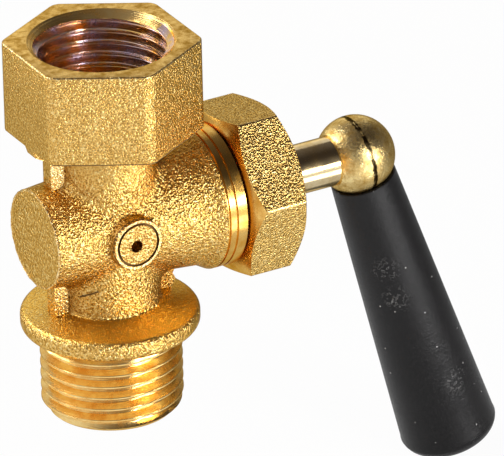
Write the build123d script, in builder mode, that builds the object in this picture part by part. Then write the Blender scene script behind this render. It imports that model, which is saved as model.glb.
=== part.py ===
"""Brass gauge cock: a tapered plug in a forged body, with a packed gland and a lever.

The origin is the centre of the flange's sealing underside. +Z runs up the flow axis to the
gauge socket, +X runs along the plug's axis to the lever, and -Y is the side with the vent.
All sizes are in millimetres.
"""

import os
from math import cos, radians, sin, sqrt, tan

from build123d import *

os.makedirs("parts", exist_ok=True)

# Pipe thread, 55 degree form, on the shank and in the gauge socket
thread_major_d = 20.955
thread_pitch = 1.814
thread_half_angle = 27.5
thread_depth = 0.640327 * thread_pitch
thread_crest_flat = 0.1665 * thread_pitch

# Shank, flange and necks
shank_len = 12.9
shank_chamfer = 1.2
shank_runout = 1.0
flange_reach = 2.72
flange_rim_h = 2.9
flange_cone_h = 1.5
flange_edge_round = 1.2
neck_d = 15.2
neck_foot_fillet = 0.6
neck_barrel_fillet = 2.0

# Trimmed parting-line ribs on the two sides of the necks
rib_height = 2.0
rib_land_half = 1.2
rib_draft = 0.3
gusset_inset = 0.05
gusset_draft = 0.7
gusset_drop = 1.4
gusset_slope_drop = 2.8
flash_reach = 0.75
flash_notch = 0.3
flash_step = 0.85
flash_thickness = 0.7

# Gauge socket
hex_bottom_z = 31.7
hex_h = 14.0
hex_wall = 1.9
hex_corner_round = 2.0
hex_chamfer_w = 0.5
hex_chamfer_h = 0.5
socket_depth = 12.0
socket_mouth_margin = 0.37
socket_runout = 1.2

# Tapered plug and stem
plug_axis_z = 16.75
plug_small_x = -8.5
plug_small_r = 4.8
plug_large_x = 9.0
plug_taper = 1 / 6
plug_seat_clearance = 0.03
seat_relief_depth = 1.0
stem_d = 7.44
stem_free_len = 10.15
vent_drilling_d = 1.8
spigot_d = 5.4
spigot_cover = 2.95
spigot_end_gap = 0.2

# Barrel, lying along X
barrel_end_wall = 2.5
barrel_end_r = 7.45
barrel_end_round = 0.5
barrel_flare_x = 12.6
barrel_flare_h = 1.0
collar_x = 14.3
collar_w = 3.15
collar_shoulder = 1.75
collar_groove_w = 0.34
collar_groove_depth = 0.3
collar_groove_step = 0.75
collar_groove_count = 2
nozzle_wall = 2.1

# Vent boss
vent_proud = 0.88
vent_root_depth = 1.8
vent_draft = 0.35
vent_face_r = 3.8
vent_rim_w = 0.36
vent_groove_w = 0.4
vent_groove_depth = 0.45
vent_hole_d = 1.9
vent_hole_dx = -0.25
vent_hole_dz = -0.2

# Flow passages
inlet_bore_d = 8.0
inlet_bore_top_z = 6.0
passage_d = 5.0
gauge_tip_bore_d = 6.6
gauge_tip_bore_depth = 5.0

# Packing and gland
chamber_step = 0.64
gland_clearance = 0.05
washer_thickness = 1.0
packing_ring_w = 2.2
packing_ring_count = 3
follower_bush_len = 5.85
follower_flange_inset = 0.4
follower_flange_w = 2.0
follower_lift = 0.3
nut_wall = 2.7
nut_corner_round = 0.4
nut_turn = 7.6
nut_gap = 0.35
nut_end_wall = 2.6
nut_face_inset = 0.7
nut_chamfer_slope = 30.0
nut_stem_gap = 0.28

# Ball, lever rod and grip
ball_r = 5.9
ball_flat_margin = 0.27
ball_seam_tilt = 8.0
ball_seam_r = 0.16
lever_tilt = 17.2
rod_d = 3.5
rod_cover = 2.3
rod_end = 32.0
rod_clearance = 0.04
grip_lip = 0.45
grip_top_inset = 0.95
grip_end = 53.0
grip_end_r = 7.45
grip_end_round = 1.7
grip_cup_gap = 0.06

# Radii and heights that follow from the sizes above
major_r = thread_major_d / 2
minor_r = major_r - thread_depth
flange_r = major_r + flange_reach
flange_top_z = flange_rim_h + flange_cone_h
neck_r = neck_d / 2
rib_reach = neck_r + rib_height
mouth_r = major_r + socket_mouth_margin
mouth_h = mouth_r - minor_r
hex_half_af = mouth_r + hex_wall
hex_corner_r = hex_half_af / cos(radians(30))
hex_top_z = hex_bottom_z + hex_h
socket_floor_z = hex_top_z - socket_depth
plug_large_r = plug_small_r + (plug_large_x - plug_small_x) * plug_taper / 2
stem_r = stem_d / 2
chamber_r = plug_large_r + chamber_step
nozzle_r = chamber_r + nozzle_wall
collar_r = nozzle_r + collar_shoulder
nut_half_af = nozzle_r + nut_wall
nut_face_r = nut_half_af - nut_face_inset

# Stations along the plug's axis, from the barrel's closed end to the ball
relief_x = plug_small_x - seat_relief_depth
barrel_end_x = relief_x - barrel_end_wall
collar_end_x = collar_x + collar_w
chamber_x = plug_large_x + gland_clearance
packing_x = chamber_x + washer_thickness
follower_x = packing_x + packing_ring_count * packing_ring_w
follower_flange_x = follower_x + follower_bush_len
nozzle_end_x = follower_flange_x - follower_lift
nut_x = collar_end_x + nut_gap
nut_wall_x = follower_flange_x + follower_flange_w
nut_end_x = nut_wall_x + nut_end_wall
stem_end_x = nut_end_x + stem_free_len
ball_x = stem_end_x + sqrt(ball_r**2 - (stem_r + ball_flat_margin) ** 2)
spigot_end_x = ball_x + ball_r - spigot_cover

# The barrel's radius over the flow axis, and the vent's face in front of it
barrel_slope = (collar_r - barrel_flare_h - barrel_end_r) / (barrel_flare_x - barrel_end_x)
vent_face_y = -(barrel_end_r - barrel_slope * barrel_end_x) - vent_proud

# The rod's tip in the ball, and the grip's top, where its lip meets the cup for the ball
rod_tip = ball_r - rod_cover
grip_top_r = ball_r - grip_top_inset
grip_cup_r = ball_r + grip_cup_gap
grip_top = sqrt(grip_cup_r**2 - (grip_top_r - grip_lip) ** 2)

# Centres, axes and section planes
plug_centre = (0, 0, plug_axis_z)
ball_centre = (ball_x, 0, plug_axis_z)
plug_axis = Axis(plug_centre, (1, 0, 0))
lever_dir = (sin(radians(lever_tilt)), 0, -cos(radians(lever_tilt)))
lever_axis = Axis(ball_centre, lever_dir)

# The lever's section plane: local x is the distance from the lever's axis, local y runs down it
lever_plane = Plane(
    origin=ball_centre,
    x_dir=(cos(radians(lever_tilt)), 0, sin(radians(lever_tilt))),
    z_dir=(0, 1, 0),
)
# A cross-section plane of the plug's axis: local x is -Y and local y is +Z
plug_section = Plane(origin=plug_centre, x_dir=(0, -1, 0), z_dir=(-1, 0, 0))


def groove_count(length: float) -> int:
    """Number of whole thread grooves that fit in a length of wall."""
    return int(length / thread_pitch)


def thread_groove(root_side: int) -> None:
    """Draws one groove of the 55 degree form, opening at the local origin.

    root_side is -1 where the root lies nearer to the axis, and 1 where it lies further out.
    """
    half_root = thread_crest_flat / 2
    half_mouth = half_root + thread_depth * tan(radians(thread_half_angle))
    Polygon(
        (0, -half_mouth),
        (0, half_mouth),
        (root_side * thread_depth, half_root),
        (root_side * thread_depth, -half_root),
        align=None,
    )


def seat_radius(x: float) -> float:
    """Radius of the tapered seat in the body at a place along the plug's axis."""
    return plug_small_r + (x - plug_small_x) * plug_taper / 2 + plug_seat_clearance


def axial(x: float, r: float) -> tuple[float, float]:
    """Point of a profile round the plug's axis, drawn on the XZ plane."""
    return (x, plug_axis_z + r)


# Valve body: one forging, machined at the threads, the seat, the collar and the vent
with BuildPart() as valve_body:
    # Shank, flange and necks, round about the flow axis
    with BuildSketch(Plane.XZ):
        with BuildLine():
            Polyline(
                (0, -shank_len),
                (major_r - shank_chamfer, -shank_len),
                (major_r, shank_chamfer - shank_len),
                (major_r, 0),
                (flange_r, 0),
                (flange_r, flange_rim_h),
                (neck_r, flange_top_z),
                (neck_r, hex_bottom_z),
                (0, hex_bottom_z),
                close=True,
            )
        make_face()
    revolve(axis=Axis.Z)
    round_edges = valve_body.edges().filter_by(GeomType.CIRCLE)
    rim_edges = round_edges.filter_by(lambda edge: edge.radius > (major_r + flange_r) / 2)
    fillet(rim_edges, radius=flange_edge_round)
    foot_edges = (
        valve_body.edges()
        .filter_by(GeomType.CIRCLE)
        .filter_by(lambda edge: edge.radius < major_r and 0 < edge.center().Z < plug_axis_z)
    )
    fillet(foot_edges, radius=neck_foot_fillet)

    # Conical barrel, flared to a turned collar, with the nozzle that the nut screws on
    with BuildSketch(Plane.XZ) as barrel_sketch:
        with BuildLine():
            Polyline(
                axial(barrel_end_x, 0),
                axial(barrel_end_x, barrel_end_r),
                axial(barrel_flare_x, collar_r - barrel_flare_h),
                axial(collar_x, collar_r),
                axial(collar_end_x, collar_r),
                axial(collar_end_x, nozzle_r),
                axial(nozzle_end_x, nozzle_r),
                axial(nozzle_end_x, 0),
                close=True,
            )
        make_face()
        end_corner = barrel_sketch.vertices().group_by(Axis.X)[0].sort_by(Axis.Y)[-1]
        fillet(end_corner, radius=barrel_end_round)
    revolve(axis=plug_axis)
    junction_edges = (
        valve_body.edges()
        .filter_by(GeomType.CIRCLE, reverse=True)
        .filter_by(GeomType.LINE, reverse=True)
    )
    fillet(junction_edges, radius=neck_barrel_fillet)
    with BuildSketch(Plane.XZ):
        for groove_number in range(collar_groove_count):
            groove_x = collar_x + (groove_number + 1) * collar_groove_step
            with Locations(axial(groove_x, collar_r)):
                Rectangle(collar_groove_w, 2 * collar_groove_depth)
    revolve(axis=plug_axis, mode=Mode.SUBTRACT)

    # Ribs along both sides of the necks
    with BuildSketch(Plane.XY.offset(flange_rim_h)):
        with BuildLine():
            Polyline(
                (0, rib_land_half + rib_draft),
                (neck_r, rib_land_half + rib_draft),
                (rib_reach, rib_land_half),
                (rib_reach, -rib_land_half),
                (neck_r, -rib_land_half - rib_draft),
                (0, -rib_land_half - rib_draft),
                close=True,
            )
        make_face()
        mirror(about=Plane.YZ)
    extrude(amount=hex_bottom_z - flange_rim_h)

    # Gussets that carry the ribs out under the hexagon
    gusset_x = hex_half_af - gusset_inset
    with BuildSketch(Plane.XZ):
        with BuildLine():
            Polyline(
                (0, hex_bottom_z),
                (gusset_x, hex_bottom_z),
                (gusset_x - gusset_draft, hex_bottom_z - gusset_drop),
                (rib_reach, hex_bottom_z - gusset_slope_drop),
                (0, hex_bottom_z - gusset_slope_drop),
                close=True,
            )
        make_face()
        mirror(about=Plane.YZ)
    extrude(amount=rib_land_half, both=True)

    # Hexagon with its corners turned off at both ends
    with BuildSketch(Plane.XY.offset(hex_bottom_z)) as hex_sketch:
        RegularPolygon(radius=hex_half_af, side_count=6, major_radius=False, rotation=30)
        fillet(hex_sketch.vertices(), radius=hex_corner_round)
    extrude(amount=hex_h)
    for face_z, inward in ((hex_bottom_z, 1), (hex_top_z, -1)):
        with BuildSketch(Plane.XZ):
            with BuildLine():
                Polyline(
                    (hex_corner_r - hex_chamfer_w, face_z),
                    (hex_corner_r + hex_chamfer_w, face_z),
                    (hex_corner_r + hex_chamfer_w, face_z + inward * 2 * hex_chamfer_h),
                    close=True,
                )
            make_face()
        revolve(axis=Axis.Z, mode=Mode.SUBTRACT)

    # Vent boss with a ring groove in its face
    vent_plane = Plane(origin=(0, vent_face_y, plug_axis_z), x_dir=(1, 0, 0), z_dir=(0, -1, 0))
    with BuildSketch(vent_plane):
        Circle(vent_face_r)
    with BuildSketch(vent_plane.offset(-vent_root_depth)):
        Circle(vent_face_r + vent_draft)
    loft()
    with BuildSketch(vent_plane):
        Circle(vent_face_r - vent_rim_w)
        Circle(vent_face_r - vent_rim_w - vent_groove_w, mode=Mode.SUBTRACT)
    extrude(amount=-vent_groove_depth, mode=Mode.SUBTRACT)

    # Ragged flash left on the right-hand rib of the lower neck
    with BuildSketch(Plane.XZ.offset(rib_land_half - flash_thickness)):
        with BuildLine():
            Polyline(
                (neck_r, flange_top_z),
                (rib_reach + flash_notch, flange_top_z),
                (rib_reach + flash_reach, flange_top_z + flash_step),
                (rib_reach + flash_notch, flange_top_z + 2 * flash_step),
                (rib_reach + flash_reach, flange_top_z + 3 * flash_step),
                (neck_r, flange_top_z + 3 * flash_step),
                close=True,
            )
        make_face()
    extrude(amount=flash_thickness)

    # Gauge socket, bored to the thread's crests and opened at the mouth
    with BuildSketch(Plane.XY.offset(hex_top_z)):
        Circle(minor_r)
    extrude(amount=-socket_depth, mode=Mode.SUBTRACT)
    with BuildSketch(Plane.XZ):
        with BuildLine():
            Polyline(
                (0, hex_top_z),
                (mouth_r, hex_top_z),
                (minor_r, hex_top_z - mouth_h),
                (0, hex_top_z - mouth_h),
                close=True,
            )
        make_face()
    revolve(axis=Axis.Z, mode=Mode.SUBTRACT)
    with Locations((0, 0, socket_floor_z)):
        Hole(radius=gauge_tip_bore_d / 2, depth=gauge_tip_bore_depth)

    # Thread grooves as parallel rings of the true section, outside on the shank and inside the socket
    shank_grooves = groove_count(shank_len - shank_runout - shank_chamfer / 2)
    socket_grooves = groove_count(socket_depth - mouth_h - socket_runout)
    with BuildSketch(Plane.XZ):
        for turn in range(shank_grooves):
            with Locations((major_r, -shank_runout - (turn + 0.5) * thread_pitch)):
                thread_groove(root_side=-1)
        for turn in range(socket_grooves):
            with Locations((minor_r, socket_floor_z + socket_runout + (turn + 0.5) * thread_pitch)):
                thread_groove(root_side=1)
    revolve(axis=Axis.Z, mode=Mode.SUBTRACT)

    # Tapered seat, its relief, and the packing chamber
    with BuildSketch(Plane.XZ):
        with BuildLine():
            Polyline(
                axial(relief_x, 0),
                axial(relief_x, seat_radius(plug_small_x)),
                axial(plug_small_x, seat_radius(plug_small_x)),
                axial(chamber_x, seat_radius(chamber_x)),
                axial(chamber_x, chamber_r),
                axial(nozzle_end_x, chamber_r),
                axial(nozzle_end_x, 0),
                close=True,
            )
        make_face()
    revolve(axis=plug_axis, mode=Mode.SUBTRACT)

    # Inlet bore, the passages to both sides of the plug, and the vent hole
    with BuildSketch(Plane.XY.offset(-shank_len)):
        Circle(inlet_bore_d / 2)
    extrude(amount=shank_len + inlet_bore_top_z, mode=Mode.SUBTRACT)
    with BuildSketch(Plane.XY.offset(inlet_bore_top_z)):
        Circle(passage_d / 2)
    extrude(amount=socket_floor_z - inlet_bore_top_z, mode=Mode.SUBTRACT)
    with BuildSketch(vent_plane):
        with Locations((vent_hole_dx, vent_hole_dz)):
            Circle(vent_hole_d / 2)
    extrude(amount=vent_face_y, mode=Mode.SUBTRACT)

valve_body.part.label = "valve_body"
export_step(valve_body.part, "parts/valve_body.step")

# Tapered plug with its stem, turned in one piece; the flow bore stands upright when open
with BuildPart() as plug_stem:
    with BuildSketch(Plane.XZ):
        with BuildLine():
            Polyline(
                axial(plug_small_x, 0),
                axial(plug_small_x, plug_small_r),
                axial(plug_large_x, plug_large_r),
                axial(plug_large_x, stem_r),
                axial(stem_end_x, stem_r),
                axial(stem_end_x, spigot_d / 2),
                axial(spigot_end_x, spigot_d / 2),
                axial(spigot_end_x, 0),
                close=True,
            )
        make_face()
    revolve(axis=plug_axis)
    with BuildSketch(Plane.XY.offset(plug_axis_z)):
        Circle(passage_d / 2)
    extrude(amount=plug_large_r, both=True, mode=Mode.SUBTRACT)
    with BuildSketch(Plane.XZ):
        with Locations(axial(0, 0)):
            Circle(vent_drilling_d / 2)
    extrude(amount=-plug_large_r, mode=Mode.SUBTRACT)
    with BuildSketch(Plane(origin=ball_centre, z_dir=lever_dir)):
        Circle(rod_d / 2 + rod_clearance)
    extrude(amount=ball_r, both=True, mode=Mode.SUBTRACT)

plug_stem.part.label = "plug_stem"
export_step(plug_stem.part, "parts/plug_stem.step")


def ring_on_plug_axis(outer_r: float, inner_r: float) -> None:
    """Draws a ring's section on the current plane."""
    Circle(outer_r)
    Circle(inner_r, mode=Mode.SUBTRACT)


# Washer against the plug's shoulder
with BuildPart() as thrust_washer:
    with BuildSketch(plug_section.offset(-chamber_x)):
        ring_on_plug_axis(chamber_r - gland_clearance, stem_r + gland_clearance)
    extrude(amount=-washer_thickness)

thrust_washer.part.label = "thrust_washer"
export_step(thrust_washer.part, "parts/thrust_washer.step")

# Packing rings, one against the next
for ring_number in range(packing_ring_count):
    with BuildPart() as packing_ring:
        with BuildSketch(plug_section.offset(-packing_x - ring_number * packing_ring_w)):
            ring_on_plug_axis(chamber_r - gland_clearance, stem_r + gland_clearance)
        extrude(amount=-packing_ring_w)
    node_name = f"packing_ring_{ring_number + 1}"
    packing_ring.part.label = node_name
    export_step(packing_ring.part, f"parts/{node_name}.step")

# Gland follower: a bush in the chamber with a flange under the nut
with BuildPart() as gland_follower:
    with BuildSketch(plug_section.offset(-follower_x)):
        ring_on_plug_axis(chamber_r - gland_clearance, stem_r + gland_clearance)
    extrude(amount=follower_x - follower_flange_x)
    with BuildSketch(plug_section.offset(-follower_flange_x)):
        ring_on_plug_axis(nozzle_r - follower_flange_inset, stem_r + gland_clearance)
    extrude(amount=-follower_flange_w)

gland_follower.part.label = "gland_follower"
export_step(gland_follower.part, "parts/gland_follower.step")

# Gland nut: a hexagon cap with both ends turned to cones
with BuildPart() as gland_nut:
    with BuildSketch(plug_section.offset(-nut_x)) as nut_sketch:
        RegularPolygon(radius=nut_half_af, side_count=6, major_radius=False, rotation=nut_turn)
        fillet(nut_sketch.vertices(), radius=nut_corner_round)
    extrude(amount=nut_x - nut_end_x)
    nut_reach = nut_half_af / cos(radians(30))
    nut_chamfer_w = (nut_reach - nut_face_r) * tan(radians(nut_chamfer_slope))
    for face_x, inward in ((nut_x, 1), (nut_end_x, -1)):
        with BuildSketch(Plane.XZ):
            with BuildLine():
                Polyline(
                    axial(face_x, nut_face_r),
                    axial(face_x, nut_reach),
                    axial(face_x + inward * nut_chamfer_w, nut_reach),
                    close=True,
                )
            make_face()
        revolve(axis=plug_axis, mode=Mode.SUBTRACT)
    with BuildSketch(plug_section.offset(-nut_x)):
        Circle(nozzle_r + gland_clearance)
    extrude(amount=nut_x - nut_wall_x, mode=Mode.SUBTRACT)
    with BuildSketch(plug_section.offset(-nut_wall_x)):
        Circle(stem_r + nut_stem_gap)
    extrude(amount=nut_wall_x - nut_end_x, mode=Mode.SUBTRACT)

gland_nut.part.label = "gland_nut"
export_step(gland_nut.part, "parts/gland_nut.step")

# Ball on the stem's end, with a flat for the stem's shoulder and the seam of its forging
with BuildPart() as lever_ball:
    with Locations(ball_centre):
        Sphere(ball_r)
    with BuildSketch(plug_section.offset(-stem_end_x)):
        Circle(ball_r)
    extrude(amount=ball_r, mode=Mode.SUBTRACT)
    with BuildSketch(plug_section.offset(-stem_end_x)):
        Circle(spigot_d / 2 + rod_clearance)
    extrude(amount=stem_end_x - spigot_end_x - spigot_end_gap, mode=Mode.SUBTRACT)
    with BuildSketch(Plane(origin=ball_centre, z_dir=lever_dir).offset(-rod_tip)):
        Circle(rod_d / 2 + rod_clearance)
    extrude(amount=rod_tip + ball_r, mode=Mode.SUBTRACT)
    seam_dir = (cos(radians(ball_seam_tilt)), 0, sin(radians(ball_seam_tilt)))
    with BuildSketch(Plane.XZ):
        with Locations(
            (
                ball_x - ball_r * sin(radians(ball_seam_tilt)),
                plug_axis_z + ball_r * cos(radians(ball_seam_tilt)),
            )
        ):
            Circle(ball_seam_r)
    revolve(axis=Axis(ball_centre, seam_dir), mode=Mode.SUBTRACT)

lever_ball.part.label = "lever_ball"
export_step(lever_ball.part, "parts/lever_ball.step")

# Steel rod, screwed through the ball and the spigot, that carries the grip
with BuildPart() as lever_rod:
    with BuildSketch(Plane(origin=ball_centre, z_dir=lever_dir).offset(-rod_tip + rod_clearance)):
        Circle(rod_d / 2)
    extrude(amount=rod_tip - rod_clearance + rod_end)

lever_rod.part.label = "lever_rod"
export_step(lever_rod.part, "parts/lever_rod.step")

# Tapered plastic grip, cupped to sit on the ball
with BuildPart() as handle_grip:
    with BuildSketch(lever_plane):
        with BuildLine():
            Polyline(
                (0, grip_top),
                (grip_top_r, grip_top),
                (grip_end_r, grip_end),
                (0, grip_end),
                close=True,
            )
        make_face()
    revolve(axis=lever_axis)
    end_edge = handle_grip.edges().filter_by(GeomType.CIRCLE).sort_by(lever_axis)[-1]
    fillet(end_edge, radius=grip_end_round)
    with Locations(ball_centre):
        Sphere(grip_cup_r, mode=Mode.SUBTRACT)
    with BuildSketch(Plane(origin=ball_centre, z_dir=lever_dir)):
        Circle(rod_d / 2 + rod_clearance)
    extrude(amount=rod_end + rod_clearance, mode=Mode.SUBTRACT)

handle_grip.part.label = "handle_grip"
export_step(handle_grip.part, "parts/handle_grip.step")
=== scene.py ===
"""Looks of a brass gauge cock: a blasted forging with turned threads, a gland nut and a lever."""

import logging
from collections.abc import Callable
from dataclasses import dataclass, field
from enum import Enum
from math import atan2, cos, degrees, pi, radians, sin, sqrt

import bmesh
import bpy
from mathutils import Matrix, Vector, noise


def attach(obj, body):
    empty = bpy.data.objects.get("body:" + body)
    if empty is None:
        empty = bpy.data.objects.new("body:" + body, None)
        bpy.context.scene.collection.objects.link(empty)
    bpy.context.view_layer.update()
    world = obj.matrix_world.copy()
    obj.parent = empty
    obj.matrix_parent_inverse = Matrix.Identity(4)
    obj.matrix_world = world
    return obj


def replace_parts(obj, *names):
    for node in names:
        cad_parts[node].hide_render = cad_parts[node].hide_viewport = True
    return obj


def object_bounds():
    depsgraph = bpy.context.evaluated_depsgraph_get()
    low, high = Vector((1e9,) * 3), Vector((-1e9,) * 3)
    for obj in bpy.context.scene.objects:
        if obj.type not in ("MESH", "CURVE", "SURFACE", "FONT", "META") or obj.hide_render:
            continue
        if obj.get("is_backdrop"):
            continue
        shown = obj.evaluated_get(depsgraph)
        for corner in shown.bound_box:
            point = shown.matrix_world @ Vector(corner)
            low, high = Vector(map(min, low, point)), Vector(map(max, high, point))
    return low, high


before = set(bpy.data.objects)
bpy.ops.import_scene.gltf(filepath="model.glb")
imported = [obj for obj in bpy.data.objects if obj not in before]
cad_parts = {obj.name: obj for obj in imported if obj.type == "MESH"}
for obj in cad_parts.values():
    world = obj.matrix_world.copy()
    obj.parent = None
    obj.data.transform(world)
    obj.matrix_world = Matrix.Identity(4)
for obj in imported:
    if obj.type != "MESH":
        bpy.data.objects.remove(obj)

LOG = logging.getLogger("gauge_cock")
MM = 0.001
# Slack in tests of where a face or a vertex lies, in millimetres
HAIR = 0.01
SLACK = 0.02
# Fixes the raggedness of the trim bead and the lap, which would differ in every run
NOISE_SEED = 7
# Brass stays yellow where it is seen at a grazing angle
EDGE_TINT = "#F3DBA8"


def linear(hex_colour: str) -> tuple[float, float, float, float]:
    """Turns an sRGB hex colour into linear RGBA.

    Args:
        hex_colour: Six hex digits with a leading #.

    Returns:
        The colour as four floats, the last one 1.
    """
    parts = [int(hex_colour[i : i + 2], 16) / 255 for i in (1, 3, 5)]
    red, green, blue = (p / 12.92 if p <= 0.04045 else ((p + 0.055) / 1.055) ** 2.4 for p in parts)
    return (red, green, blue, 1.0)


def per_mm(size_mm: float) -> float:
    """Scale of a texture whose features are that many millimetres across, on metre coordinates."""
    return 1.0 / (size_mm * MM)


def add(
    tree: bpy.types.NodeTree, kind: str, settings: dict | None = None, **inputs: object
) -> bpy.types.Node:
    """Adds a node, sets its properties, and fills or links its inputs.

    Args:
        tree: The node tree.
        kind: The node's type name.
        settings: Properties of the node itself.
        **inputs: Input sockets by name with _ for spaces, or in0, in1 by number; a socket is linked.

    Returns:
        The new node.
    """
    node = tree.nodes.new(kind)
    for name, value in (settings or {}).items():
        setattr(node, name, value)
    for name, value in inputs.items():
        key = int(name[2:]) if name[:2] == "in" and name[2:].isdigit() else name.replace("_", " ")
        if isinstance(value, bpy.types.NodeSocket):
            tree.links.new(value, node.inputs[key])
        else:
            node.inputs[key].default_value = value
    return node


class TurnAxis(Enum):
    """The axis that a surface was turned about on the lathe, as its centre in millimetres and its lie."""

    FLOW = ((0.0, 0.0, 0.0), (1.0, 1.0, 0.0))
    PLUG = ((0.0, 0.0, 16.75), (0.0, 1.0, 1.0))
    VENT = ((0.0, 0.0, 16.75), (1.0, 0.0, 1.0))

    @property
    def centre(self) -> Vector:
        """A point on the axis, in metres."""
        return Vector(self.value[0]) * MM

    @property
    def across(self) -> tuple[float, float, float]:
        """One for each direction that lies across the axis, and zero along it."""
        return self.value[1]


class Zone(Enum):
    """Material slots of the valve's body."""

    BLASTED = 0
    FACED = 1
    COLLAR = 2
    THREAD = 3
    VENT = 4
    FLANGE = 5
    TAPPED = 6
    WORN = 7
    # Dark brown oxide, which is also painted shade in the vent's groove and under the hexagon
    OXIDE_AND_SHADE = 8


def remap(
    tree: bpy.types.NodeTree,
    value: bpy.types.NodeSocket,
    source: tuple[float, float] = (0.0, 1.0),
    target: tuple[float, float] = (0.0, 1.0),
) -> bpy.types.NodeSocket:
    """Stretches a value from one range to another.

    Args:
        tree: The node tree.
        value: The value's socket.
        source: The range that it comes in.
        target: The range that it leaves in.

    Returns:
        The stretched value.
    """
    return add(
        tree,
        "ShaderNodeMapRange",
        Value=value,
        From_Min=source[0],
        From_Max=source[1],
        To_Min=target[0],
        To_Max=target[1],
    ).outputs["Result"]


def blend(
    tree: bpy.types.NodeTree,
    share: bpy.types.NodeSocket,
    low: str | bpy.types.NodeSocket,
    high: str | bpy.types.NodeSocket,
) -> bpy.types.NodeSocket:
    """Mixes two colours.

    Args:
        tree: The node tree.
        share: Share of the second colour.
        low: The first colour, as a hex colour or a socket.
        high: The second colour, likewise.

    Returns:
        The mixed colour.
    """
    first, second = (linear(side) if isinstance(side, str) else side for side in (low, high))
    mix = add(tree, "ShaderNodeMix", {"data_type": "RGBA"}, Factor=share, in6=first, in7=second)
    return mix.outputs[2]


def maths(tree: bpy.types.NodeTree, operation: str, *values: object) -> bpy.types.NodeSocket:
    """Works on single values.

    Args:
        tree: The node tree.
        operation: The Math node's operation.
        *values: Its inputs in order, as numbers or sockets.

    Returns:
        The result.
    """
    inputs = {f"in{number}": value for number, value in enumerate(values)}
    return add(tree, "ShaderNodeMath", {"operation": operation}, **inputs).outputs[0]


def vectors(tree: bpy.types.NodeTree, operation: str, *values: object) -> bpy.types.NodeSocket:
    """Works on vectors.

    Args:
        tree: The node tree.
        operation: The Vector Math node's operation.
        *values: Its inputs in order, as vectors or sockets.

    Returns:
        The result, a single value for lengths, distances and dot products.
    """
    inputs = {f"in{number}": value for number, value in enumerate(values)}
    node = add(tree, "ShaderNodeVectorMath", {"operation": operation}, **inputs)
    single = operation in ("LENGTH", "DISTANCE", "DOT_PRODUCT")
    return node.outputs["Value" if single else "Vector"]


def speckle(
    tree: bpy.types.NodeTree,
    place: bpy.types.NodeSocket,
    size_mm: float,
    detail: float = 2.0,
    roughness: float = 0.5,
) -> bpy.types.NodeSocket:
    """Lays out soft noise in space.

    Args:
        tree: The node tree.
        place: The coordinates.
        size_mm: Size of the noise's features.
        detail: Number of finer layers in it.
        roughness: Strength of the finer layers.

    Returns:
        The noise, from 0 to 1.
    """
    noise_node = add(
        tree, "ShaderNodeTexNoise", Vector=place, Scale=per_mm(size_mm), Detail=detail, Roughness=roughness
    )
    return noise_node.outputs["Fac"]


def banding(
    tree: bpy.types.NodeTree, along: bpy.types.NodeSocket, size_mm: float
) -> bpy.types.NodeSocket:
    """Lays out uneven bands along one value, as a tool's feed leaves them.

    Args:
        tree: The node tree.
        along: The value that the bands follow, in metres.
        size_mm: Width of the bands.

    Returns:
        The bands' height, from 0 to 1.
    """
    one_way = {"noise_dimensions": "1D"}
    return add(tree, "ShaderNodeTexNoise", one_way, W=along, Scale=per_mm(size_mm), Detail=2.0).outputs["Fac"]


def bump(
    tree: bpy.types.NodeTree,
    height: bpy.types.NodeSocket,
    strength: float,
    depth: float | bpy.types.NodeSocket,
    under: bpy.types.NodeSocket | None = None,
) -> bpy.types.NodeSocket:
    """Turns a height into relief.

    Args:
        tree: The node tree.
        height: The height, from 0 to 1.
        strength: Share of the relief that shows.
        depth: Depth of the relief in metres.
        under: A broader relief that this one lies on.

    Returns:
        The bent normal.
    """
    node = add(tree, "ShaderNodeBump", Height=height, Strength=strength, Distance=depth)
    if under is not None:
        tree.links.new(under, node.inputs["Normal"])
    return node.outputs["Normal"]


def shader(name: str) -> tuple[bpy.types.Material, bpy.types.NodeTree, bpy.types.Node]:
    """Makes a material with an empty Principled shader.

    Args:
        name: The material's name.

    Returns:
        The material, its node tree and its Principled node.
    """
    material = bpy.data.materials.new(name)
    material.use_nodes = True
    tree = material.node_tree
    tree.nodes.clear()
    principled = add(tree, "ShaderNodeBsdfPrincipled")
    add(tree, "ShaderNodeOutputMaterial", Surface=principled.outputs["BSDF"])
    return material, tree, principled


def brass_shader(name: str) -> tuple[bpy.types.Material, bpy.types.NodeTree, bpy.types.Node]:
    """Makes a material that is all metal, with brass's edge tint.

    Args:
        name: The material's name.

    Returns:
        The material, its node tree and its Principled node.
    """
    material, tree, brass = shader(name)
    brass.inputs["Metallic"].default_value = 1.0
    brass.inputs["Specular Tint"].default_value = linear(EDGE_TINT)
    return material, tree, brass


def place_on(tree: bpy.types.NodeTree) -> bpy.types.NodeSocket:
    """Coordinates on the object, in metres."""
    return add(tree, "ShaderNodeTexCoord").outputs["Object"]


def wire(
    tree: bpy.types.NodeTree,
    principled: bpy.types.Node,
    colour: bpy.types.NodeSocket,
    roughness: bpy.types.NodeSocket,
    normal: bpy.types.NodeSocket,
) -> None:
    """Joins a finish to its shader.

    Args:
        tree: The node tree.
        principled: The Principled node.
        colour: The finish's colour.
        roughness: Its roughness.
        normal: Its relief.
    """
    for name, socket in (("Base Color", colour), ("Roughness", roughness), ("Normal", normal)):
        tree.links.new(socket, principled.inputs[name])


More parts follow.
